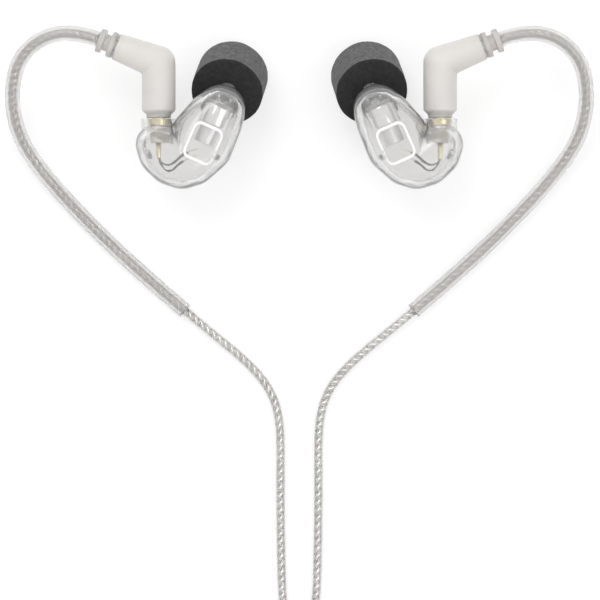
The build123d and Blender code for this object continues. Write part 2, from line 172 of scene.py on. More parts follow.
def add_ramp(material, fac, target, stops):
    """Colour or value ramp from a factor into a socket; stops are (position, colour)."""
    nodes, links = material.node_tree.nodes, material.node_tree.links
    ramp = nodes.new("ShaderNodeValToRGB")
    elements = ramp.color_ramp.elements
    for index, (position, colour) in enumerate(stops):
        element = elements[index] if index < 2 else elements.new(position)
        element.position = position
        element.color = (*colour, 1)
    links.new(fac, ramp.inputs["Fac"])
    links.new(ramp.outputs["Color"], target)


def grey(value):
    return (value, value, value)


def clear_plastic(name, colour, roughness, ior, wave_scale, wave_depth, transmission=1.0):
    """Clear moulded plastic with the faint unevenness that moulding leaves."""
    material, shader = principled(
        name, Base_Color=(*colour, 1), Roughness=roughness, IOR=ior, Transmission_Weight=transmission
    )
    waves = pattern(material, "ShaderNodeTexNoise", wave_scale, Detail=2.0)
    add_bump(material, shader, waves.outputs["Fac"], wave_depth)
    return material


def clouded(material, shader, scale, low, high, grain_scale, grain_depth, grain_detail=2.0):
    """Cloudy colour between low and high, and a fine grain of the given depth in metres."""
    clouds = pattern(material, "ShaderNodeTexNoise", scale, Detail=3.0)
    stops = ((0.3, low), (0.7, high))
    add_ramp(material, clouds.outputs["Fac"], shader.inputs["Base Color"], stops)
    grain = pattern(material, "ShaderNodeTexNoise", grain_scale, Detail=grain_detail)
    add_bump(material, shader, grain.outputs["Fac"], grain_depth)
    return material


def frosted_plastic(name, low, high, transmission):
    """Frosted plastic that light soaks into, with a fine matte grain."""
    material, shader = principled(
        name,
        Roughness=0.42,
        IOR=1.45,
        Transmission_Weight=transmission,
        Subsurface_Weight=0.6,
        Subsurface_Scale=0.002,
        Subsurface_Radius=(1.0, 0.95, 0.9),
    )
    return clouded(material, shader, 220, low, high, 9000, 0.00001)


def foam_material(name, low, high, sheen):
    """Slow recovery foam: fine open cells and mottled colour."""
    material, shader = principled(
        name, Roughness=0.95, Specular_IOR_Level=0.1, Sheen_Weight=sheen, Sheen_Roughness=0.6
    )
    mottle = pattern(material, "ShaderNodeTexNoise", 1500, Detail=4.0)
    add_ramp(material, mottle.outputs["Fac"], shader.inputs["Base Color"], ((0.35, low), (0.7, high)))
    cells = pattern(material, "ShaderNodeTexVoronoi", 5200, Randomness=1.0)
    add_bump(material, shader, cells.outputs["Distance"], 0.00005, 0.8)
    return material


def metal(name, low, high, roughness, grain_scale, grain_depth):
    """Metal with fine drawn grain and slight tarnish."""
    material, shader = principled(name, Metallic=1.0, Roughness=roughness)
    return clouded(material, shader, 900, low, high, grain_scale, grain_depth, 1.0)


def plain_plastic(name, low, high, roughness):
    """Opaque plastic or rubber with a faint grain."""
    material, shader = principled(name, Roughness=roughness)
    return clouded(material, shader, 700, low, high, 7000, 0.000008)


def woven(name, low, high):
    """Woven strap with loops standing up."""
    material, shader = principled(name, Roughness=0.9, Sheen_Weight=0.5)
    threads = pattern(material, "ShaderNodeTexVoronoi", 2600, Randomness=0.35)
    add_ramp(material, threads.outputs["Distance"], shader.inputs["Base Color"], ((0.1, high), (0.7, low)))
    add_bump(material, shader, threads.outputs["Distance"], 0.00012)
    return material


def make_materials():
    paint = {}
    for make, name, *settings in (
        (clear_plastic, "clear_shell", (0.95, 0.945, 0.94), 0.03, 1.46, 500, 0.00006, 0.87),
        (clear_plastic, "clear_tube", (0.96, 0.95, 0.94), 0.3, 1.42, 700, 0.00004, 0.9),
        (clear_plastic, "jacket", (0.97, 0.965, 0.955), 0.08, 1.45, 1500, 0.00002),
        (frosted_plastic, "clear_rubber", (0.71, 0.68, 0.65), (0.78, 0.75, 0.72), 0.45),
        (frosted_plastic, "frosted_boot", (0.755, 0.735, 0.705), (0.805, 0.785, 0.755), 0.1),
        (foam_material, "foam_side", grey(0.11), grey(0.18), 0.05),
        # foam_base_painted_shade is the same foam as foam_side painted far darker: painted shade for the
        # tip's flat base face, not a different foam
        (foam_material, "foam_base_painted_shade", grey(0.03), grey(0.042), 0.0),
        (metal, "conductor", (0.84, 0.83, 0.81), (0.95, 0.94, 0.92), 0.3, 6000, 0.00002),
        (metal, "driver_metal", (0.9, 0.89, 0.89), (0.97, 0.96, 0.96), 0.1, 9000, 0.000002),
        (metal, "cup_metal", (0.88, 0.87, 0.88), (0.94, 0.93, 0.94), 0.28, 9000, 0.000003),
        (metal, "dark_metal", grey(0.2), grey(0.32), 0.3, 7000, 0.00001),
        (metal, "steel", grey(0.5), grey(0.62), 0.3, 7000, 0.000005),
        (metal, "gold", (0.87, 0.77, 0.49), (0.93, 0.84, 0.58), 0.22, 7000, 0.000004),
        (plain_plastic, "cream", (0.92, 0.82, 0.6), (0.96, 0.88, 0.68), 0.4),
        (plain_plastic, "wire", grey(0.05), grey(0.09), 0.4),
        (plain_plastic, "core_rubber", grey(0.02), grey(0.035), 0.6),
        (plain_plastic, "dark_plastic", grey(0.02), grey(0.04), 0.4),
        (plain_plastic, "print", grey(0.93), grey(0.97), 0.5),
        (woven, "tie", grey(0.02), grey(0.09)),
    ):
        paint[name] = make(name, *settings)
    return paint


# ---- mesh helpers
def mesh_piece(name, vertices, faces, material):
    """Smooth mesh object with its faces turned outwards."""
    mesh = bpy.data.meshes.new(name)
    mesh.from_pydata([tuple(v) for v in vertices], [], faces)
    shape = bmesh.new()
    shape.from_mesh(mesh)
    bmesh.ops.recalc_face_normals(shape, faces=shape.faces)
    shape.to_mesh(mesh)
    shape.free()
    mesh.shade_smooth()
    if material:
        mesh.materials.append(material)
    piece = bpy.data.objects.new(name, mesh)
    link(piece)
    return piece


def ring_faces(first, second, count):
    """Quads between two rings of count vertices that start at the given numbers."""
    faces = []
    for index in range(count):
        after = (index + 1) % count
        faces.append((first + index, first + after, second + after, second + index))
    return faces


def lathe(axis_origin, axis, profile, sides=96, closed=False):
    """Vertices and faces of a turned shape; profile holds (radius, distance along the axis)."""
    origin, along = Vector(axis_origin), Vector(axis).normalized()
    across = along.orthogonal().normalized()
    third = along.cross(across)
    vertices, faces = [], []
    for radius, distance in profile:
        for index in range(sides):
            angle = 2 * pi * index / sides
            offset = across * (radius * cos(angle)) + third * (radius * sin(angle))
            vertices.append(origin + along * distance + offset)
    rings = len(profile)
    for ring in range(rings - 1 + int(closed)):
        faces += ring_faces(ring * sides, ((ring + 1) % rings) * sides, sides)
    if not closed:
        faces.append(tuple(reversed(range(sides))))
        faces.append(tuple(range((rings - 1) * sides, rings * sides)))
    return vertices, faces


def rounded(profile, radius, steps=4):
    """Profile with each corner cut to a small arc-like curve of about the given radius."""
    result = [profile[0]]
    for before, here, after in zip(profile, profile[1:], profile[2:]):
        corner = Vector(here)
        run_in, run_out = Vector(before) - corner, Vector(after) - corner
        reach = min(radius, 0.45 * run_in.length, 0.45 * run_out.length)
        start = corner + run_in.normalized() * reach
        end = corner + run_out.normalized() * reach
        for step in range(steps + 1):
            t = step / steps
            point = start * (1 - t) ** 2 + corner * (2 * t * (1 - t)) + end * t**2
            result.append(tuple(point))
    return result + [profile[-1]]


def around(centre, radius, angle):
    """Point in a plane at a distance and an angle from a centre."""
    return centre[0] + radius * cos(angle), centre[1] + radius * sin(angle)


def directions(path):
    """Direction of a path at each of its points."""
    last = len(path) - 1
    return [(path[min(i + 1, last)] - path[max(i - 1, 0)]).normalized() for i in range(len(path))]


def add_shape(vertices, faces, shape):
    """Adds another shape's vertices and faces to the lists."""
    more_vertices, more_faces = shape
    faces += [tuple(v + len(vertices) for v in face) for face in more_faces]
    vertices += more_vertices


def tube(path, radius, sides, inner_radius=None):
    """Round tube along a path, hollow where an inner radius is given."""
    radii = [radius] if inner_radius is None else [radius, inner_radius]
    tangents = directions(path)
    across = tangents[0].orthogonal().normalized()
    vertices = []
    for point, tangent in zip(path, tangents):
        across = (across - tangent * across.dot(tangent)).normalized()
        third = tangent.cross(across)
        for ring_radius in radii:
            for index in range(sides):
                angle = 2 * pi * index / sides
                offset = across * cos(angle) + third * sin(angle)
                vertices.append(point + offset * ring_radius)
    faces = []
    stride = sides * len(radii)
    last = (len(path) - 1) * stride
    for step in range(len(path) - 1):
        faces += ring_faces(step * stride, (step + 1) * stride, sides)
        if inner_radius is not None:
            inner = ring_faces(step * stride + sides, (step + 1) * stride + sides, sides)
            faces += [tuple(reversed(face)) for face in inner]
    if inner_radius is None:
        faces.append(tuple(reversed(range(sides))))
        faces.append(tuple(range(last, last + sides)))
    else:
        faces += ring_faces(sides, 0, sides)
        faces += ring_faces(last, last + sides, sides)
    return vertices, faces


def softened(node, name, voxel, rounds, material):
    """Copy of a CAD node with its edges rounded as moulding leaves them."""
    piece = bpy.data.objects.new(name, frame["nodes"][node].data.copy())
    link(piece)
    remesh = piece.modifiers.new("remesh", "REMESH")
    remesh.mode = "VOXEL"
    remesh.voxel_size = voxel
    smooth = piece.modifiers.new("smooth", "SMOOTH")
    smooth.factor = 0.5
    smooth.iterations = rounds
    apply_modifiers(piece)
    piece.data.shade_smooth()
    piece.data.materials.clear()
    piece.data.materials.append(material)
    return piece


def worked_out(thing):
    """Mesh of a curve, or of a piece with its modifiers."""
    depsgraph = bpy.context.evaluated_depsgraph_get()
    return bpy.data.meshes.new_from_object(thing.evaluated_get(depsgraph), depsgraph=depsgraph)


def apply_modifiers(piece):
    """Puts the result of a piece's modifiers in its mesh."""
    result = worked_out(piece)
    piece.modifiers.clear()
    piece.data = result


def settle(piece, body, slot, *nodes):
    """Rides a piece on its body and hides the CAD nodes that it stands for."""
    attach(piece, body)
    if nodes:
        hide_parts(*nodes)
    return piece


def repaint(node, material):
    """Gives a CAD node whose shape is right its finished material."""
    data = frame["nodes"][node].data
    data.materials.clear()
    data.materials.append(material)


# ---- cords
EAR_CABLE_D = 0.0015
MAIN_CABLE_D = 0.0022
HOOK_OUTER_R = 0.001325
HOOK_INNER_R = 0.0008
TURN_POINTS = 24
TIE_THICKNESS = 0.0004

HOOK_ROUTE = [
    (-0.034673, 0.011918, 0.012),
    (-0.0382, 0.01327, 0.012),
    (-0.044, 0.01275, 0.0116),
    (-0.0486, 0.009, 0.01),
    (-0.0501, 0.003, 0.0076),
    (-0.04935, -0.0032, 0.005),
    (-0.0467, -0.0084, 0.0031),
    (-0.0412, -0.0151, 0.0018),
    (-0.0326, -0.02385, 0.0014),
    (-0.0233, -0.0321, 0.00136),
]
AFTER_HOOK = [
    (-0.0166, -0.0378, 0.00134),
    (-0.0099, -0.0432, 0.00095),
    (-0.006, -0.0473, 0.0008),
    (-0.004, -0.0513, 0.00079),
    (-0.00325, -0.0563, 0.00078),
    (-0.00335, -0.0645, 0.00079),
    (-0.0032, -0.079, 0.00077),
]
TO_COIL = {
    "left": [(-0.0029, -0.087, 0.0008), (-0.0011, -0.094, 0.0011)],
    "right": [(0.0029, -0.0865, 0.0008), (0.0012, -0.0935, 0.0011)],
}
FROM_COIL = [
    (0.0008, -0.1085, 0.00265),
    (0.0013, -0.1165, 0.00195),
    (0.0013, -0.132, 0.0019),
    (0.0013, -0.141, 0.0019),
]
EAR_COIL = (-0.01125, -0.1003)
EAR_COIL_OUTER = 0.012
EAR_COIL_INNER = 0.0045
EAR_COIL_FLAT_TURNS = 2.0
EAR_COIL_SWAP_TURNS = 0.3
EAR_COIL_TURNS = 4

MAIN_LEAD = [(0.0, -0.149, 0.0019), (0.0, -0.16, 0.0019)]
MAIN_TAIL = [
    (-0.0008, -0.1755, 0.0069),
    (-0.007, -0.1818, 0.0034),
    (-0.0145, -0.1823, 0.0015),
    (-0.0206, -0.1784, 0.0016),
    (-0.022, -0.172, 0.0037),
    (-0.022, -0.166, 0.0037),
]
MAIN_COIL = (0.0156, -0.167)
MAIN_COIL_OUTER = 0.0156
MAIN_COIL_INNER = 0.0101
MAIN_COIL_LAYERS = 4
MAIN_COIL_HEIGHT = MAIN_COIL_LAYERS * MAIN_CABLE_D
MAIN_COIL_TURNS = 11
MAIN_COIL_RISE_TURNS = 0.3


def spline_points(points, resolution):
    """Points along the smooth NURBS spline whose control points are the route's points."""
    curve = bpy.data.curves.new("route", "CURVE")
    curve.dimensions = "3D"
    spline = curve.splines.new("NURBS")
    spline.points.add(len(points) - 1)
    for slot, point in zip(spline.points, points):
        slot.co = (*point, 1)
    spline.order_u = 3
    spline.use_endpoint_u = True
    spline.resolution_u = resolution
    holder = bpy.data.objects.new("route", curve)
    link(holder)
    line = worked_out(holder)
    path = [v.co.copy() for v in line.vertices]
    bpy.data.meshes.remove(line)
    bpy.data.objects.remove(holder)
    bpy.data.curves.remove(curve)
    return path


def spaced(path, gap):
    """The path's points that are at least gap apart, with both its ends."""
    kept = [path[0]]
    for point in path[1:-1]:
        if (point - kept[-1]).length >= gap:
            kept.append(point)
    return kept + [path[-1]]


def ear_coil_turns(side):
    """Control points of one ear cable in the flat two-layer coil that both are wound in.
    The pair spirals in on the lower layer, changes places at the inside and spirals out above."""
    lower_z = TIE_THICKNESS + EAR_CABLE_D / 2
    outer = side == "right"
    swap_end = EAR_COIL_FLAT_TURNS + EAR_COIL_SWAP_TURNS
    pitch_in = (EAR_COIL_OUTER - EAR_COIL_INNER - EAR_CABLE_D) / EAR_COIL_FLAT_TURNS
    pitch_out = (EAR_COIL_OUTER - EAR_COIL_INNER - EAR_CABLE_D) / (EAR_COIL_TURNS - swap_end)
    middle = EAR_COIL_INNER + EAR_CABLE_D / 2
    points = []
    for step in range(EAR_COIL_TURNS * TURN_POINTS + 1):
        turns = step / TURN_POINTS
        if turns < EAR_COIL_FLAT_TURNS:
            start = EAR_COIL_OUTER if outer else EAR_COIL_OUTER - EAR_CABLE_D
            radius, z = start - pitch_in * turns, lower_z
        elif turns < swap_end:
            swap = pi * (turns - EAR_COIL_FLAT_TURNS) / EAR_COIL_SWAP_TURNS
            half = EAR_CABLE_D / 2 * cos(swap)
            radius = middle + half if outer else middle - half
            climbed = sin(swap) if swap < pi / 2 else 1.0
            late = 0.0 if swap < pi / 2 else 1 - sin(swap)
            z = lower_z + EAR_CABLE_D * (late if outer else climbed)
        else:
            start = EAR_COIL_INNER if outer else EAR_COIL_INNER + EAR_CABLE_D
            radius, z = start + pitch_out * (turns - swap_end), lower_z + EAR_CABLE_D
        angle = -2 * pi * turns
        points.append((*around(EAR_COIL, radius, angle), z))
    return points


def main_coil_turns():
    """Control points of the main cable's coil: layers spiral in and out by turns."""
    lower_z = TIE_THICKNESS + MAIN_CABLE_D / 2
    rises = (MAIN_COIL_LAYERS - 1) * MAIN_COIL_RISE_TURNS
    layer_turns = (MAIN_COIL_TURNS - rises) / MAIN_COIL_LAYERS
    cycle = layer_turns + MAIN_COIL_RISE_TURNS
    points = []
    for step in range(MAIN_COIL_TURNS * TURN_POINTS + 1):
        turns = step / TURN_POINTS
        layer = min(int(turns / cycle), MAIN_COIL_LAYERS - 1)
        within = turns - layer * cycle
        spiral = min(within / layer_turns, 1.0)
        rise = max(0.0, min((within - layer_turns) / MAIN_COIL_RISE_TURNS, 1.0))
        inward = spiral if layer % 2 == 0 else 1 - spiral
        radius = MAIN_COIL_OUTER + (MAIN_COIL_INNER - MAIN_COIL_OUTER) * inward
        z = lower_z + MAIN_CABLE_D * (layer + (1 - cos(pi * rise)) / 2)
        angle = pi + 2 * pi * turns
        points.append((*around(MAIN_COIL, radius, angle), z))
    return points


def strands(path, count, spread, radius, pitch, sides=8):
    """Conductors twisted round each other along a path."""
    vertices, faces = [], []
    tangents = directions(path)
    for strand in range(count):
        across = tangents[0].orthogonal().normalized()
        travelled = 0.0
        line = []
        for index, (point, tangent) in enumerate(zip(path, tangents)):
            if index:
                travelled += (point - path[index - 1]).length
            across = (across - tangent * across.dot(tangent)).normalized()
            third = tangent.cross(across)
            angle = 2 * pi * (travelled / pitch + strand / count)
            line.append(point + (across * cos(angle) + third * sin(angle)) * spread)
        add_shape(vertices, faces, tube(line, radius, sides))
    return vertices, faces


def make_ear_cables(paint):
    for side, sign in SIDES:
        route = [(sign * x, y, z) for x, y, z in HOOK_ROUTE + AFTER_HOOK]
        out = [(sign * x, y, z) for x, y, z in FROM_COIL]
        points = route + TO_COIL[side] + ear_coil_turns(side) + out
        path = spline_points(points, 40)
        line = spaced(path, 0.0005)
        fine = spaced(path, 0.00022)
        jacket = mesh_piece(f"{side}_cable_jacket", *tube(line, EAR_CABLE_D / 2, 20), paint["jacket"])
        nodes = (f"{side}_ear_cable", f"{side}_cable_tail")
        settle(jacket, "cable", "cable", *nodes, "ear_cable_coil")
        twisted = strands(fine, 2, 0.00031, 0.00033, 0.0027)
        pair = mesh_piece(f"{side}_cable_conductors", *twisted, paint["conductor"])
        settle(pair, "cable", "cable")
        hook_end = (Vector(HOOK_ROUTE[-1]) + Vector(AFTER_HOOK[0])) / 2
        hook_end.x *= sign
        nearest = min(range(len(line)), key=lambda i: (line[i] - hook_end).length)
        sheath = tube(line[: nearest + 1], HOOK_OUTER_R, 28, HOOK_INNER_R)
        hook = mesh_piece(f"{side}_hook_tube", *sheath, paint["clear_tube"])
        settle(hook, "cable", "clear_tube", f"{side}_ear_hook_tube")
        with_pieces = [pair, hook, f"{side}_strain_relief"]
        with_pieces += ["splitter_lower", "splitter_upper", "cinch_slider"]


def make_main_cable(paint):
    points = MAIN_LEAD + main_coil_turns() + MAIN_TAIL
    path = spline_points(points, 16)
    line = spaced(path, 0.0006)
    jacket = mesh_piece("main_cable_jacket", *tube(line, MAIN_CABLE_D / 2, 20), paint["jacket"])
    settle(jacket, "cable", "cable", "main_cable_lead", "main_cable_coil", "main_cable_tail")
    fine = spaced(path, 0.0004)
    twisted = strands(fine, 3, 0.0005, 0.00043, 0.0052)
    core = mesh_piece("main_cable_conductors", *twisted, paint["conductor"])
    settle(core, "cable", "cable")
    with_pieces = [core, "splitter_relief", "jack_strain_relief"]
    with_pieces += ["jack_handle", "jack_tip", "main_coil_tie"]


# ---- earpieces
WALL = 0.001
PARTING_Z = 0.0135
FACE_HEIGHT = 0.0058
EAR_DEPTH = 0.0055
EDGE_ROUND = 0.0034
CROWN = 0.0002
OUTLINE_SIDES = 240
ARC_STEPS = 12
CROWN_STEPS = 5
# Circles whose hulls make the outline: (x, y, radius)
HEEL_TOP = (-0.0247, -0.0062, 0.00355)
HEEL = (-0.0232, -0.0075, 0.0046)
LOWER_LEFT = (-0.0218, -0.0088, 0.0046)
BOTTOM = (-0.0202, -0.0093, 0.0046)
LOWER_RIGHT = (-0.0186, -0.0088, 0.0046)
BELLY = (-0.0166, -0.0063, 0.00515)
SIDE = (-0.0139, -0.0026, 0.004)
NOSE = (-0.0135, -0.0001, 0.00425)
SHOULDER = (-0.01564, -0.0008, 0.0036)
WEB = (-0.0184, -0.0038, 0.0035)
OUTLINE_HULLS = (
    (HEEL_TOP, HEEL, LOWER_LEFT, BOTTOM),
    (WEB, SHOULDER, NOSE, SIDE, BELLY, LOWER_RIGHT, BOTTOM),
)
OUTLINE_CENTRE = (-0.0201, -0.009)

TIP_BASE = (-0.01257, 0.00287, 0.01068)
FOAM_R = 0.0062
FOAM_LENGTH = 0.01
CORE_R = 0.0026
SEAT_R = 0.0067
SEAT_GAP = 0.00035
NOZZLE_BORE_R = 0.0011

PLUG_AXIS = (-0.02431, 0.0, 0.012)
PLUG_WAY = (0.0, 1.0, 0.0)
PLUG = (PLUG_AXIS, PLUG_WAY)
COLLAR_R = 0.00302

ELBOW_Y = 0.00794
BRANCH_RISE = radians(21)
BRANCH_WAY = (-cos(BRANCH_RISE), sin(BRANCH_RISE), 0.0)

DRIVER_FRONT = (-0.01365, 0.00017, 0.0144)
DRIVER_LEAN = radians(24)
DRIVER_WAY = (-sin(DRIVER_LEAN), -cos(DRIVER_LEAN), 0.0)
DRIVER = (DRIVER_FRONT, DRIVER_WAY)


def scaled(profile):
    """Profile given in millimetres, in metres."""
    return [(radius * MM, distance * MM) for radius, distance in profile]


def hull_outline(circles, inset):
    """Convex outline round circles that are drawn smaller by inset."""
    points = []
    for x, y, radius in circles:
        for index in range(180):
            angle = 2 * pi * index / 180
            points.append(around((x, y), radius - inset, angle))
    points.sort()
    outline = []
    for run in (points, points[::-1]):
        chain = []
        for point in run:
            while len(chain) > 1:
                (ax, ay), (bx, by) = chain[-2:]
                if (bx - ax) * (point[1] - ay) - (by - ay) * (point[0] - ax) > 0:
                    break
                chain.pop()
            chain.append(point)
        outline += chain[:-1]
    return outline


def reach(outline, centre, angle):
    """Distance from a centre inside a convex outline to the outline, at an angle."""
    way_x, way_y = cos(angle), sin(angle)
    for (ax, ay), (bx, by) in zip(outline, outline[1:] + outline[:1]):
        edge_x, edge_y = bx - ax, by - ay
        slope = way_x * edge_y - way_y * edge_x
        if abs(slope) < 1e-12:
            continue
        off_x, off_y = ax - centre[0], ay - centre[1]
        distance = (off_x * edge_y - off_y * edge_x) / slope
        share = (off_x * way_y - off_y * way_x) / slope
        if distance > 0 and -1e-6 <= share <= 1 + 1e-6:
            return distance
    return 0.0


def housing_radii(inset):
    """Distance from the outline's centre to the outline, all round, its hollows softened."""
    outlines = [hull_outline(circles, inset) for circles in OUTLINE_HULLS]
    radii = []
    for index in range(OUTLINE_SIDES):
        angle = 2 * pi * index / OUTLINE_SIDES
        radii.append(max(reach(outline, OUTLINE_CENTRE, angle) for outline in outlines))
    for _ in range(3):
        radii = [
            (radii[i - 1] + 2 * radii[i] + radii[(i + 1) % OUTLINE_SIDES]) / 4 for i in range(OUTLINE_SIDES)
        ]
    return radii


def shell_rings(inset, height):
    """Rings over half of the housing, from rim to middle: (distances all round, height)."""
    arc = EDGE_ROUND - inset
    rings = []
    for step in range(ARC_STEPS + 1):
        tilt = pi / 2 * step / ARC_STEPS
        radii = housing_radii(inset + arc * (1 - cos(tilt)))
        rings.append((radii, (height - CROWN) * sin(tilt)))
    top = rings[-1][0]
    for step in range(1, CROWN_STEPS):
        share = 1 - step / CROWN_STEPS
        rings.append(([radius * share for radius in top], height - CROWN * share**2))
    return rings


def half_pebble(inset, rim_z, rise):
    """Closed half of the housing with rounded edges, flat at rim_z; a negative rise goes down."""
    vertices, faces = [], []
    rings = shell_rings(inset, abs(rise))
    for step, (radii, height) in enumerate(rings):
        for index, radius in enumerate(radii):
            angle = 2 * pi * index / OUTLINE_SIDES
            place = around(OUTLINE_CENTRE, radius, angle)
            vertices.append((*place, rim_z + copysign(height, rise)))
        if step:
            faces += ring_faces((step - 1) * OUTLINE_SIDES, step * OUTLINE_SIDES, OUTLINE_SIDES)
    middle = len(vertices)
    vertices.append((*OUTLINE_CENTRE, rim_z + rise))
    last = (len(rings) - 1) * OUTLINE_SIDES
    for index in range(OUTLINE_SIDES):
        faces.append((last + index, last + (index + 1) % OUTLINE_SIDES, middle))
    faces.append(tuple(reversed(range(OUTLINE_SIDES))))
    return vertices, faces


def face_surface_z(x, y, rings):
    """Height of the face's outer surface above the table."""
    off_x, off_y = x - OUTLINE_CENTRE[0], y - OUTLINE_CENTRE[1]
    place = (atan2(off_y, off_x) / (2 * pi)) % 1.0 * OUTLINE_SIDES
    low = int(place) % OUTLINE_SIDES
    share = place - int(place)
    out = hypot(off_x, off_y)
    outer, outer_height = None, 0.0
    for radii, height in rings + [([0.0] * OUTLINE_SIDES, FACE_HEIGHT)]:
        edge = radii[low] * (1 - share) + radii[(low + 1) % OUTLINE_SIDES] * share
        if out >= edge:
            if outer is None or outer == edge:
                return PARTING_Z + height
            return PARTING_Z + height + (outer_height - height) * (out - edge) / (outer - edge)
        outer, outer_height = edge, height
    return PARTING_Z + FACE_HEIGHT


BLOCK_FACES = [(0, 1, 3, 2), (4, 6, 7, 5), (0, 4, 5, 1), (2, 3, 7, 6), (0, 2, 6, 4), (1, 5, 7, 3)]


def block(centre, size, way=(1.0, 0.0, 0.0)):
    """Vertices and faces of a block whose first side points along way, in plan."""
    along = Vector(way).normalized()
    across = Vector((-along.y, along.x, 0))
    up = Vector((0, 0, 1))
    vertices = []
    for a in (-0.5, 0.5):
        for b in (-0.5, 0.5):
            for c in (-0.5, 0.5):
                corner = Vector(centre) + along * a * size[0]
                vertices.append(corner + across * b * size[1] + up * c * size[2])
    return vertices, BLOCK_FACES


def bodkin(origin, way, start, end, radius, sides=64):
    """Solid cylinder about an axis from start to end, as a tool for cutting and joining."""
    return lathe(origin, way, [(radius, start), (radius, end)], sides)


def joined(base, tool, operation):
    """Joins a closed tool to a piece, or cuts it out of the piece; all of it keeps the piece's material."""
    material = base.data.materials[0] if base.data.materials else None
    if isinstance(tool, tuple):
        tool = mesh_piece("tool", *tool, None)
    change = base.modifiers.new("change", "BOOLEAN")
    change.operation = operation
    change.solver = "MANIFOLD"
    change.object = tool
    apply_modifiers(base)
    bpy.data.objects.remove(tool)
    base.data.materials.clear()
    if material:
        base.data.materials.append(material)
        base.data.polygons.foreach_set("material_index", [0] * len(base.data.polygons))


def cut(base, tool):
    joined(base, tool, "DIFFERENCE")


def crisp(piece, degrees=35):
    """Smooth shading with the piece's real edges kept sharp."""
    piece.data.shade_smooth()
    piece.data.set_sharp_from_angle(angle=radians(degrees))


def turned(name, origin, way, profile, sides, material, closed=False, sharp=35):
    """Piece turned about an axis, with its real edges kept sharp."""
    piece = mesh_piece(name, *lathe(origin, way, profile, sides, closed), material)
    crisp(piece, sharp)
    return piece


def mirrored(piece):
    """The same piece on the right side."""
    copy = bpy.data.objects.new(piece.name.replace("left_", "right_"), piece.data.copy())
    shape = bmesh.new()
    shape.from_mesh(copy.data)
    for vertex in shape.verts:
        vertex.co.x = -vertex.co.x
    bmesh.ops.reverse_faces(shape, faces=shape.faces)
    shape.to_mesh(copy.data)
    shape.free()
    link(copy)
    return copy


def both_sides(piece, body, slot, *nodes):
    """Settles a left piece and its mirror image; body and nodes are named without their side."""
    sides = {"left": piece, "right": mirrored(piece)}
    for side, each in sides.items():
        rides = body if body in frame["bodies"] else f"{side}_{body}"
        settle(each, rides, slot, *(f"{side}_{node}" for node in nodes))
    return sides


def tip_way():
    """Direction in which the left ear tip points and comes off."""
    for joint in frame["joints"]:
        if joint["name"] == "left_tip_off":
            return joint["axis"]


def make_face_shell(paint):
    shell = mesh_piece("left_face_housing", *half_pebble(0, PARTING_Z, FACE_HEIGHT), paint["clear_shell"])
    cut(shell, half_pebble(WALL, PARTING_Z - 0.00001, FACE_HEIGHT - WALL))
    cut(shell, bodkin(*PLUG, -0.006, -0.0007, COLLAR_R + 0.00003))
    crisp(shell)
    both_sides(shell, "earpiece", "clear_shell", "face_shell")


def make_ear_shell(paint):
    """Bowl with the tip's seat and nozzle, the socket's collar, L-shaped walls and locating pins."""
    way = tip_way()
    plug_x = PLUG_AXIS[0]
    cavity = mesh_piece("cavity", *half_pebble(WALL, PARTING_Z + 0.00001, WALL - EAR_DEPTH), None)
    cut(cavity, bodkin(TIP_BASE, way, -SEAT_GAP - WALL, 0.02, SEAT_R + WALL, 96))
    for side in (-1, 1):
        upright = block((plug_x + side * 0.00295, -0.005, 0.01), (0.0005, 0.0048, 0.01))
        cut(cavity, upright)
        foot = block((plug_x + side * 0.0024, -0.0074, 0.01), (0.0016, 0.0004, 0.01))
        cut(cavity, foot)
    for x, y, radius in ((-0.02605, -0.00823, 0.0007), (-0.014, -0.0086, 0.0006)):
        cut(cavity, bodkin((x, y, 0), (0, 0, 1), 0, 0.02, radius, 32))

    shell = mesh_piece("left_ear_housing", *half_pebble(0, PARTING_Z, -EAR_DEPTH), paint["clear_shell"])
    cut(shell, bodkin(TIP_BASE, way, -SEAT_GAP, 0.02, SEAT_R, 96))
    cut(shell, cavity)
    joined(shell, bodkin(*PLUG, -0.006, -0.00174, COLLAR_R), "UNION")
    cut(shell, bodkin(*PLUG, -0.00597, 0.0, 0.00192))
    cut(shell, bodkin(*PLUG, -0.00915, 0.0, 0.00052))
    nozzle = scaled([(1.8, -2.0), (1.8, 4.6), (1.95, 4.75), (1.95, 5.3), (1.8, 5.5)])
    joined(shell, lathe(TIP_BASE, way, nozzle, 64), "UNION")
    cut(shell, bodkin(TIP_BASE, way, -0.004, 0.006, NOZZLE_BORE_R, 48))
    cut(shell, bodkin(TIP_BASE, way, 0.0052, 0.006, 0.0014, 48))
    crisp(shell)
    both_sides(shell, "earpiece", "clear_shell", "ear_shell")


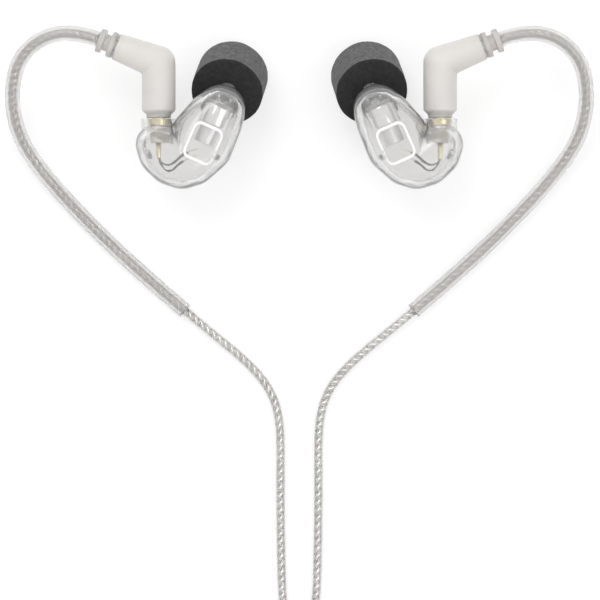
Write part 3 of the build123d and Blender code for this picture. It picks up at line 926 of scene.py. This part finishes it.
def make_face_mark(paint):
    """Plain white printed frame: a generic mark."""
    rings = shell_rings(0, FACE_HEIGHT)
    half, corner, line, turn = 0.0025, 0.001, 0.0002, radians(-24)
    middle = Vector((-0.0165, -0.0062))
    path = []
    for quarter in range(4):
        for step in range(9):
            angle = pi / 2 * (quarter + step / 8)
            centre_x = (half - corner) * (1 if quarter in (0, 3) else -1)
            centre_y = (half - corner) * (1 if quarter in (0, 1) else -1)
            path.append((centre_x, centre_y, cos(angle), sin(angle)))
    vertices, faces = [], []
    cosine, sine = cos(turn), sin(turn)
    corners = []
    for here, after in zip(path, path[1:] + path[:1]):
        for share in (0, 0.25, 0.5, 0.75):
            corners.append([a * (1 - share) + b * share for a, b in zip(here, after)])
    for centre_x, centre_y, way_x, way_y in corners:
        for offset, lift in ((line, 0.00003), (-line, 0.00003), (-line, -0.00002), (line, -0.00002)):
            x = centre_x + (corner + offset) * way_x
            y = 1.25 * (centre_y + (corner + offset) * way_y)
            x, y = middle.x + cosine * x - sine * y, middle.y + sine * x + cosine * y
            vertices.append((x, y, face_surface_z(x, y, rings) + lift))
    count = len(corners)
    for index in range(count):
        faces += ring_faces(4 * index, 4 * ((index + 1) % count), 4)
    mark = mesh_piece("left_face_mark", vertices, faces, paint["print"])
    crisp(mark, 50)
    both_sides(mark, "earpiece", None)


def make_foam_tip(paint):
    """Foam cylinder with a rounded far end, a sharp flat base and fine uneven cells; the flat base wears a
    darker copy of the foam as painted shade.
    """
    way = Vector(tip_way())
    length, radius = FOAM_LENGTH / MM, FOAM_R / MM
    bore, lip = CORE_R / MM, 1.82
    outline = scaled([(lip, 0.25), (lip, 0.0), (radius, 0.0), (radius, length - 3.0)])
    for step in range(1, 11):
        angle = pi / 2 * step / 10
        outline.append(
            ((radius - 3.0 + 3.0 * cos(angle)) * MM, (length - 3.0 + 3.0 * sin(angle)) * MM)
        )
    outline += scaled([(bore, length), (bore, 0.25), (lip, 0.25)])
    outline = rounded(outline, 0.00035)[:-1]
    profile = []
    for here, after in zip(outline, outline[1:] + outline[:1]):
        steps = max(1, round(dist(here, after) / 0.00022))
        for step in range(steps):
            share = step / steps
            profile.append(tuple(a * (1 - share) + b * share for a, b in zip(here, after)))
    vertices, faces = lathe(TIP_BASE, way, profile, 176, closed=True)
    uneven = []
    for vertex in vertices:
        swell = noise.noise(vertex * 420) * 0.00006 + noise.noise(vertex * 2600) * 0.00003
        out = (vertex - Vector(TIP_BASE)) - way * (vertex - Vector(TIP_BASE)).dot(way)
        if out.length > CORE_R * 1.03 or (vertex - Vector(TIP_BASE)).dot(way) < 0.0001:
            vertex = vertex + (out.normalized() + way * 0.3) * swell
        uneven.append(vertex)
    foam = mesh_piece("left_foam", uneven, faces, paint["foam_side"])
    # second material: the darker foam copy, painted shade on the flat base faces
    foam.data.materials.append(paint["foam_base_painted_shade"])
    for face in foam.data.polygons:
        depth = (face.center - Vector(TIP_BASE)).dot(way)
        if depth < 0.00032:
            face.material_index = 1
    for each in both_sides(foam, "tip", "foam", "foam_tip").values():
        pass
    core_profile = [(2.6, 0.3), (2.6, 8.4), (2.45, 8.5), (2.1, 8.5), (2.0, 8.4), (2.0, 0.4), (2.1, 0.3)]
    core_profile = scaled(core_profile)
    core = turned("left_core_tube", TIP_BASE, way, core_profile, 72, paint["core_rubber"], True)
    both_sides(core, "tip", "core_rubber", "tip_core")


def make_socket(paint):
    body = [(1.84, -1.84), (1.9, -1.9), (1.9, -3.5), (1.85, -3.57), (1.5, -3.57), (1.5, -4.6), (1.33, -4.6)]
    body += [(1.33, -3.5), (1.5, -3.45), (1.5, -2.95), (1.33, -2.9), (1.33, -1.9), (1.4, -1.84)]
    socket = turned("left_socket", *PLUG, scaled(body), 72, paint["gold"], True)
    both_sides(socket, "earpiece", "gold", "socket_body")
    block_profile = [(1.6, -3.57), (1.73, -3.7), (1.73, -5.85), (1.62, -5.97), (0.42, -5.97)]
    block_profile += [(0.42, -4.62), (1.5, -4.62), (1.5, -3.6)]
    block_profile = scaled(block_profile)
    holder = turned("left_socket_holder", *PLUG, block_profile, 72, paint["cream"], True)
    both_sides(holder, "earpiece", "cream", "socket_insulator")
    stem = [(0.24, -2.6), (0.42, -2.6), (0.42, -5.9), (0.47, -6.0), (0.47, -9.05), (0.4, -9.15)]
    stem += [(0.02, -9.15), (0.02, -5.0), (0.24, -5.0)]
    contact = turned("left_contact", *PLUG, scaled(stem), 40, paint["gold"], True)
    both_sides(contact, "earpiece", "gold", "socket_contact")


def make_driver(paint):
    can_profile = rounded([(1.9, 0.0), (2.75, 0.0), (2.75, 3.5), (1.9, 3.5)], 0.28)
    can = turned("left_can", *DRIVER, scaled(can_profile), 112, paint["driver_metal"])
    both_sides(can, "earpiece", "driver_metal", "driver_can")
    cup_profile = rounded([(1.85, 3.5), (1.85, 6.85), (1.55, 7.0), (0.9, 7.0)], 0.15)
    cup = turned("left_cup", *DRIVER, scaled(cup_profile), 96, paint["cup_metal"])
    both_sides(cup, "earpiece", "driver_metal", "driver_cup")
    gasket_profile = [(1.9, -0.35), (1.9, -0.7), (2.45, -0.7), (2.45, 0.0), (1.9, 0.0), (1.9, -0.35)]
    gasket_profile = scaled(rounded(gasket_profile, 0.1))
    rubber = paint["clear_rubber"]
    gasket = turned("left_gasket", *DRIVER, gasket_profile, 96, rubber, True)
    both_sides(gasket, "earpiece", "clear_rubber", "driver_gasket")


WIRES = (
    (
        (-0.02421, -0.0087, 0.0127),
        (-0.02411, -0.0096, 0.013),
        (-0.0222, -0.0099, 0.0134),
        (-0.0198, -0.0076, 0.014),
        (-0.0174, -0.007, 0.0146),
    ),
    (
        (-0.02441, -0.0087, 0.0112),
        (-0.02421, -0.0102, 0.0114),
        (-0.0226, -0.0115, 0.0119),
        (-0.0204, -0.009, 0.0128),
        (-0.0176, -0.008, 0.0134),
    ),
)


def make_wires(paint):
    """Two thin dark leads from the socket's stem, stripped before they reach the driver."""
    vertices, faces = [], []
    stripped_vertices, stripped_faces = [], []
    for route in WIRES:
        path = spaced(spline_points(route, 24), 0.00012)
        split = round(len(path) * 0.74)
        add_shape(vertices, faces, tube(path[:split], 0.0002, 14))
        add_shape(stripped_vertices, stripped_faces, tube(path[split - 1 :], 0.00009, 10))
    leads = mesh_piece("left_leads", vertices, faces, paint["wire"])
    both_sides(leads, "earpiece", "wire", "driver_wires")
    ends = mesh_piece("left_lead_ends", stripped_vertices, stripped_faces, paint["gold"])
    both_sides(ends, "earpiece", "gold")


# ---- plugs, boots and strain reliefs
def make_boots(paint):
    boot = softened("left_elbow_boot", "left_boot", 0.00013, 6, paint["frosted_boot"])
    both_sides(boot, "cable", "frosted_boot", "elbow_boot")
    corner = (PLUG_AXIS[0], ELBOW_Y, PLUG_AXIS[2])
    outline = [(1.2, 7.75), (1.9, 7.75), (1.9, 8.2), (2.28, 8.2), (2.28, 9.08), (1.45, 9.08)]
    outline += [(1.45, 10.1), (2.1, 10.1), (2.1, 11.1), (1.6, 11.1)]
    vertices, faces = lathe(corner, BRANCH_WAY, scaled(rounded(outline, 0.16)), 72)
    # Four bridges across the slot between the boot and the collar
    along = Vector(BRANCH_WAY)
    across, up = Vector((-along.y, along.x, 0)), Vector((0, 0, 1))
    for index in range(4):
        angle = pi / 4 + pi / 2 * index
        out = across * cos(angle) + up * sin(angle)
        side = along.cross(out)
        centre = Vector(corner) + along * 0.00798 + out * 0.00205
        first = len(vertices)
        for a in (-0.00026, 0.00026):
            for b in (-0.0002, 0.0002):
                for c in (-0.0007, 0.0007):
                    vertices.append(centre + along * a + out * b + side * c)
        faces += [tuple(first + v for v in face) for face in BLOCK_FACES]
    relief = mesh_piece("left_relief", vertices, faces, paint["clear_rubber"])
    crisp(relief)
    return both_sides(relief, "cable", "clear_rubber", "strain_relief")


def paint_plugs(paint):
    """CAD nodes of the coaxial plug, nozzle mesh and snap ring keep their shape."""
    for side in dict(SIDES):
        repaint(f"{side}_plug_barrel", paint["gold"])
        repaint(f"{side}_plug_insulator", paint["cream"])
        repaint(f"{side}_plug_pin", paint["gold"])
        repaint(f"{side}_snap_ring", paint["steel"])
        repaint(f"{side}_nozzle_mesh", paint["steel"])


# ---- slider, splitter, ties and headphone plug
def ridged_block(centre_z, top_y, length, width, height, grooves, depth):
    """Block along Y with an oval section, rounded ends and evenly spaced grooves across it."""
    sides, steps, end_round, oval_power = 96, 90, 0.0008, 0.62
    vertices, faces = [], []
    for step in range(steps + 1):
        share = step / steps
        y = top_y - length * share
        from_end = min(share, 1 - share) * length
        shrink = 0.0
        if from_end < end_round:
            shrink = end_round - sqrt(end_round**2 - (end_round - from_end) ** 2)
        if grooves and 0.15 < share < 0.85:
            shrink += depth * (0.5 - 0.5 * cos(2 * pi * grooves * (share - 0.15) / 0.7))
        for index in range(sides):
            angle = 2 * pi * index / sides
            cosine, sine = cos(angle), sin(angle)
            x = copysign(abs(cosine) ** oval_power, cosine) * (width / 2 - shrink)
            z = copysign(abs(sine) ** oval_power, sine) * (height / 2 - shrink)
            vertices.append((x, y, centre_z + z))
        if step:
            faces += ring_faces((step - 1) * sides, step * sides, sides)
    faces.append(tuple(reversed(range(sides))))
    faces.append(tuple(range(steps * sides, (steps + 1) * sides)))
    return vertices, faces


CABLE_SPACING = 0.0026


def make_slider_and_splitter(paint):
    low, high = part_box("cinch_slider")
    hub_z = (low.z + high.z) / 2
    shape = ridged_block(hub_z, high.y, high.y - low.y, high.x - low.x, high.z - low.z, 4, 0.0003)
    slider = mesh_piece("slider_block", *shape, paint["dark_plastic"])
    for x in (-CABLE_SPACING / 2, CABLE_SPACING / 2):
        cut(slider, bodkin((x, low.y - 0.001, hub_z), (0, 1, 0), 0, 0.009, 0.0008, 40))
    crisp(slider)
    settle(slider, "slider", "black_ring", "cinch_slider")

    low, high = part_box("splitter_upper")
    length, width = high.y - low.y, high.x - low.x
    for name, middle in (("splitter_lower", hub_z / 2), ("splitter_upper", hub_z * 1.5)):
        body = ridged_block(hub_z, high.y, length, width, 2 * hub_z, 0, 0)
        half = mesh_piece(f"{name}_half", *body, paint["dark_plastic"])
        keep = block((0, (low.y + high.y) / 2, middle), (0.02, 0.03, hub_z - 0.00004))
        joined(half, keep, "INTERSECT")
        for x in (-CABLE_SPACING / 2, CABLE_SPACING / 2):
            cut(half, bodkin((x, high.y - 0.0025, hub_z), (0, 1, 0), 0, 0.004, 0.00076, 40))
        cut(half, bodkin((0, low.y - 0.001, hub_z), (0, 1, 0), 0, 0.0035, 0.00111, 40))
        crisp(half)
        settle(half, "cable", "black_ring", name)

    low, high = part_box("splitter_relief")
    profile = scaled(ribbed_cone((high.y - low.y) / MM, 1.85, 1.5, 1.11, 5))
    start, black = (0, high.y, hub_z), paint["dark_plastic"]
    relief = turned("splitter_sleeve", start, (0, -1, 0), profile, 64, black, True, 45)
    settle(relief, "cable", "black_ring", "splitter_relief")


def ribbed_cone(length, start_r, end_r, bore_r, ribs):
    """Closed profile in millimetres of a tapering sleeve with rings cut round it."""
    profile = [(bore_r, 0.0)]
    steps = 60
    for step in range(steps + 1):
        share = step / steps
        radius = start_r + (end_r - start_r) * share
        wave = 0.5 - 0.5 * cos(2 * pi * ribs * share)
        depth = 0.0 if step in (0, steps) else 0.24 * min(1.0, 2 * wave)
        profile.append((max(radius - depth, bore_r + 0.1), length * share))
    profile.append((bore_r, length))
    return profile


def make_ties(paint):
    """Hook and loop straps round the two stored coils, each with its end lapped over."""
    for name, centre, inner, outer, height, azimuth in (
        ("ear_coil_tie", EAR_COIL, EAR_COIL_INNER, EAR_COIL_OUTER, 2 * EAR_CABLE_D, pi),
        ("main_coil_tie", MAIN_COIL, MAIN_COIL_INNER, MAIN_COIL_OUTER, MAIN_COIL_HEIGHT, 0.0),
    ):
        half_width, row = 0.0025, 22
        diameter = EAR_CABLE_D if name == "ear_coil_tie" else MAIN_CABLE_D
        inside = inner - diameter / 2
        sag = inside - sqrt(inside**2 - half_width**2)
        low_r, high_r = inside - sag - 0.0002, outer + diameter / 2 + 0.0002
        low_z, high_z = 0.0002, TIE_THICKNESS + height + 0.0002
        corner = 0.0007
        loop = []
        corners = ((high_r, high_z), (low_r, high_z), (low_r, low_z), (high_r, low_z))
        for quarter, (r, z) in enumerate(corners):
            mid_r = r - corner if r == high_r else r + corner
            mid_z = z - corner if z == high_z else z + corner
            for step in range(7):
                angle = pi / 2 * (quarter + step / 6)
                loop.append(around((mid_r, mid_z), corner, angle))
        lap = [(high_r - 0.6 * (high_r - low_r), high_z + 0.00036), (high_r - corner, high_z + 0.00036)]
        straps = [strap_sections(loop, True), strap_sections(lap, False)]
        vertices, faces = [], []
        for sections, closed in straps:
            first = len(vertices)
            over = [((across / 10 * 2 - 1) * half_width, 1) for across in range(11)]
            under = [((1 - across / 10 * 2) * half_width, -1) for across in range(11)]
            for r, z, normal_r, normal_z in sections:
                for offset, face in over + under:
                    point = Vector((r, offset, z))
                    fuzz = noise.noise(point * 2600) * 0.00005
                    lift = 0.00016 * face + fuzz * face
                    r_out, z_out = r + normal_r * lift, max(z + normal_z * lift, 0.00001)
                    x = centre[0] + r_out * cos(azimuth) - offset * sin(azimuth)
                    y = centre[1] + r_out * sin(azimuth) + offset * cos(azimuth)
                    vertices.append((x, y, z_out))
            count = len(sections)
            for index in range(count - (0 if closed else 1)):
                faces += ring_faces(first + index * row, first + (index + 1) % count * row, row)
            if not closed:
                faces.append(tuple(reversed(range(first, first + row))))
                last = first + (count - 1) * row
                faces.append(tuple(range(last, last + row)))
        strap = mesh_piece(f"{name}_strap", vertices, faces, paint["tie"])
        settle(strap, "cable", "tie", name)


def strap_sections(line, closed):
    """Evenly placed sections (radius, height, outward normal) along a strap's line."""
    points = []
    ends = line[1:] + line[:1] if closed else line[1:]
    for here, after in zip(line, ends):
        steps = max(1, round(dist(here, after) / 0.00045))
        for step in range(steps):
            points.append(tuple(a + (b - a) * step / steps for a, b in zip(here, after)))
    if not closed:
        points.append(line[-1])
    sections = []
    for index, (r, z) in enumerate(points):
        before = points[index - 1] if closed or index else points[0]
        after = points[(index + 1) % len(points)] if closed or index + 1 < len(points) else points[-1]
        run_r, run_z = after[0] - before[0], after[1] - before[1]
        length = hypot(run_r, run_z)
        sections.append((r, z, run_z / length, -run_r / length))
    return sections, closed


def make_headphone_plug(paint):
    low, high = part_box("jack_strain_relief")
    start = ((low.x + high.x) / 2, low.y, (low.z + high.z) / 2)
    way = (0, 1, 0)
    black = paint["dark_plastic"]
    profile = scaled(ribbed_cone(7.0, 1.5, 2.4, 1.12, 6))
    relief = turned("jack_sleeve_relief", start, way, profile, 64, black, True, 45)
    settle(relief, "cable", "black_ring", "jack_strain_relief")

    outline = [(1.4, 7.0), (2.6, 7.0), (3.7, 8.6), (3.7, 12.6)]
    for ring in range(5):
        rise = 13.0 + 1.5 * ring
        outline += [(3.7, rise), (3.4, rise + 0.3), (3.4, rise + 0.7), (3.7, rise + 1.0)]
    outline += [(3.7, 23.5), (3.3, 24.0), (1.8, 24.0)]
    handle = turned("jack_grip", start, way, scaled(rounded(outline, 0.25)), 96, black)
    settle(handle, "cable", "black_ring", "jack_handle")

    sleeve = rounded([(1.0, 23.9), (2.6, 23.9), (2.6, 24.3), (1.75, 24.5), (1.75, 31.2), (1.0, 31.2)], 0.08)
    ring = rounded([(1.0, 31.9), (1.75, 31.9), (1.75, 33.6), (1.0, 33.6)], 0.05)
    for node, profile in (("jack_sleeve", sleeve), ("jack_ring", ring)):
        piece = turned(f"{node}_contact", start, way, scaled(profile), 72, paint["gold"])
        settle(piece, "cable", "gold", node)
    vertices, faces = [], []
    for base in (31.1, 33.5):
        band = [(1.0, base), (1.72, base), (1.72, base + 0.9), (1.0, base + 0.9)]
        add_shape(vertices, faces, lathe(start, way, scaled(band), 72))
    insulators = mesh_piece("jack_bands", vertices, faces, black)
    crisp(insulators)
    settle(insulators, "cable", "black_ring", "jack_insulators")
    tip = [(1.0, 34.3), (1.65, 34.3), (1.3, 35.7), (1.34, 36.0), (1.75, 36.5), (1.6, 36.9)]
    tip += [(0.95, 37.9), (0.3, 38.2)]
    point = turned("jack_point", start, way, scaled(rounded(tip, 0.15)), 72, paint["gold"])
    settle(point, "cable", "gold", "jack_tip")


make_stage()
paint = make_materials()
make_ear_cables(paint)
make_main_cable(paint)
make_boots(paint)
paint_plugs(paint)
make_face_shell(paint)
make_ear_shell(paint)
make_face_mark(paint)
make_foam_tip(paint)
make_socket(paint)
make_driver(paint)
make_wires(paint)
make_slider_and_splitter(paint)
make_ties(paint)
make_headphone_plug(paint)
